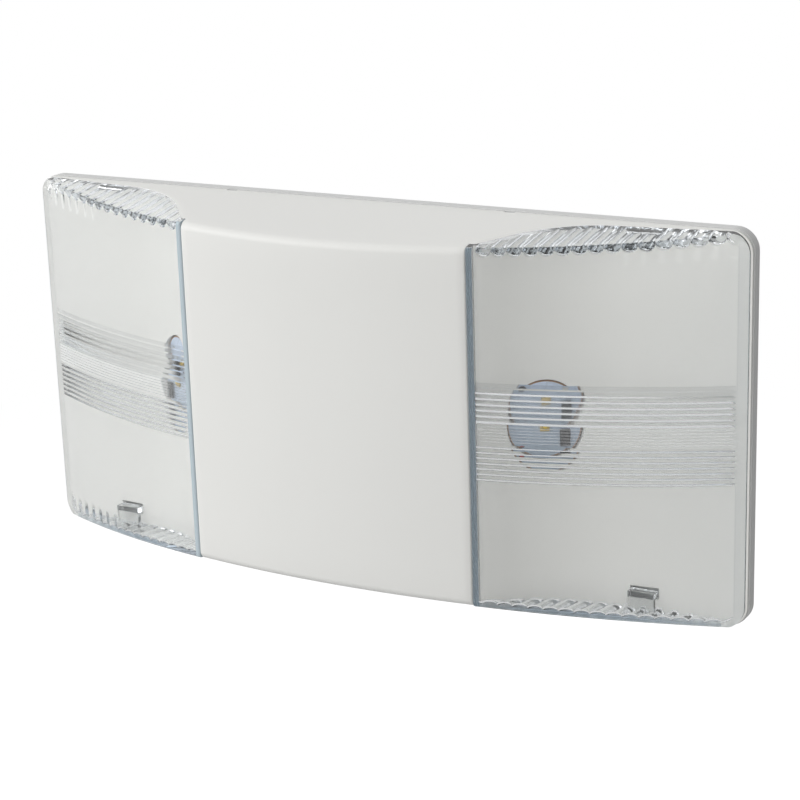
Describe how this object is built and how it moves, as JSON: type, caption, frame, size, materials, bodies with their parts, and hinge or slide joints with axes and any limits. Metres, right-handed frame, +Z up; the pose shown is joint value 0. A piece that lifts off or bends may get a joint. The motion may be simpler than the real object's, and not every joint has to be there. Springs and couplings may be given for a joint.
{
  "type": "wall-mounted emergency light",
  "caption": "Slim wall-mounted emergency light: bowed front panel between clear fluted lenses over turned lamps, with battery pack, control board and test button.",
  "frame": {"origin": "centre of the flat back face of the tray, where it meets the wall", "axes": "+X to the right seen from the front, +Y out of the back face into the wall, so the front faces -Y, +Z up"},
  "size_m": [0.3, 0.0465, 0.1436],
  "materials": {
    "housing_white": "fine satin",
    "cover_white": "fine satin",
    "clear_lens": "polished clear plastic",
    "lamp_board": "pale lacquer",
    "lamp_chip": "yellow phosphor",
    "dark_moulding": "matt",
    "sink_metal": "satin",
    "screw_metal": "zinc plated",
    "red_wire": "smooth",
    "black_wire": "smooth",
    "ivory_plug": "satin",
    "cell_metal": "nickel plated",
    "blue_sleeve": "shrink film",
    "strap_metal": "zinc plated",
    "green_board": "solder lacquer",
    "pale_sheet": "card",
    "core_steel": "varnished laminations",
    "copper_coil": "enamelled wire",
    "can_blue": "printed-free sleeve",
    "relay_case": "smooth",
    "green_block": "satin",
    "fuse_glass": "clear",
    "chip_black": "matt",
    "resistor_body": "lacquer",
    "indicator_green": "tinted",
    "pipe_clear": "polished",
    "plunger_red": "satin",
    "button_red": "satin"
  },
  "bodies": {
    "housing": {"back_housing": "housing_white", "led_board_right": "lamp_board", "led_board_left": "lamp_board", "led_chip_right": "lamp_chip", "led_chip_left": "lamp_chip", "lamp_diodes": "dark_moulding", "heat_sink_right": "sink_metal", "heat_sink_left": "sink_metal", "lamp_screws": "screw_metal", "lamp_leads_right": "red_wire", "lamp_leads_left": "red_wire", "lamp_plugs": "ivory_plug", "battery_cells": "cell_metal", "battery_sleeve": "blue_sleeve", "cell_links": "cell_metal", "battery_strap": "strap_metal", "strap_screws": "screw_metal", "battery_leads": "black_wire", "battery_plug": "ivory_plug", "control_board": "green_board", "board_screws": "screw_metal", "insulation_sheet": "pale_sheet", "transformer_core": "core_steel", "transformer_coil": "copper_coil", "capacitors": "can_blue", "relay": "relay_case", "terminal_block": "green_block", "terminal_screws": "screw_metal", "fuse_tube": "fuse_glass", "fuse_clips": "strap_metal", "driver_chip": "chip_black", "power_transistor": "chip_black", "resistors": "resistor_body", "indicator_lamp": "indicator_green", "test_switch": "dark_moulding"},
    "front_cover": {"front_cover": "cover_white", "light_pipe": "pipe_clear"},
    "lens_right": {"lens_right": "clear_lens"},
    "lens_left": {"lens_left": "clear_lens"},
    "test_button": {"test_button": "button_red"},
    "switch_plunger": {"switch_plunger": "plunger_red"}
  },
  "joints": [
    {"name": "cover_pull", "type": "slide", "parent": "housing", "child": "front_cover", "axis": [0, -1, 0], "range_m": [0, 0.05]},
    {"name": "lens_right_hinge", "type": "hinge", "parent": "front_cover", "child": "lens_right", "pos_m": [0.10362, -0.0056, 0.07135], "axis": [-1, 0, 0], "range_deg": [0, 25]},
    {"name": "lens_left_hinge", "type": "hinge", "parent": "front_cover", "child": "lens_left", "pos_m": [-0.10362, -0.0056, 0.07135], "axis": [-1, 0, 0], "range_deg": [0, 25]},
    {"name": "button_press", "type": "slide", "parent": "front_cover", "child": "test_button", "axis": [0, 0, 1], "range_m": [0, 0.0012], "stiffness_N_per_m": 1000, "springref_m": -0.001},
    {"name": "plunger_press", "type": "slide", "parent": "housing", "child": "switch_plunger", "axis": [0, 0, 1], "range_m": [0, 0.0012]}
  ],
  "couplings": [
    {"joint": "plunger_press", "follows": "button_press", "ratio": 1}
  ]
}
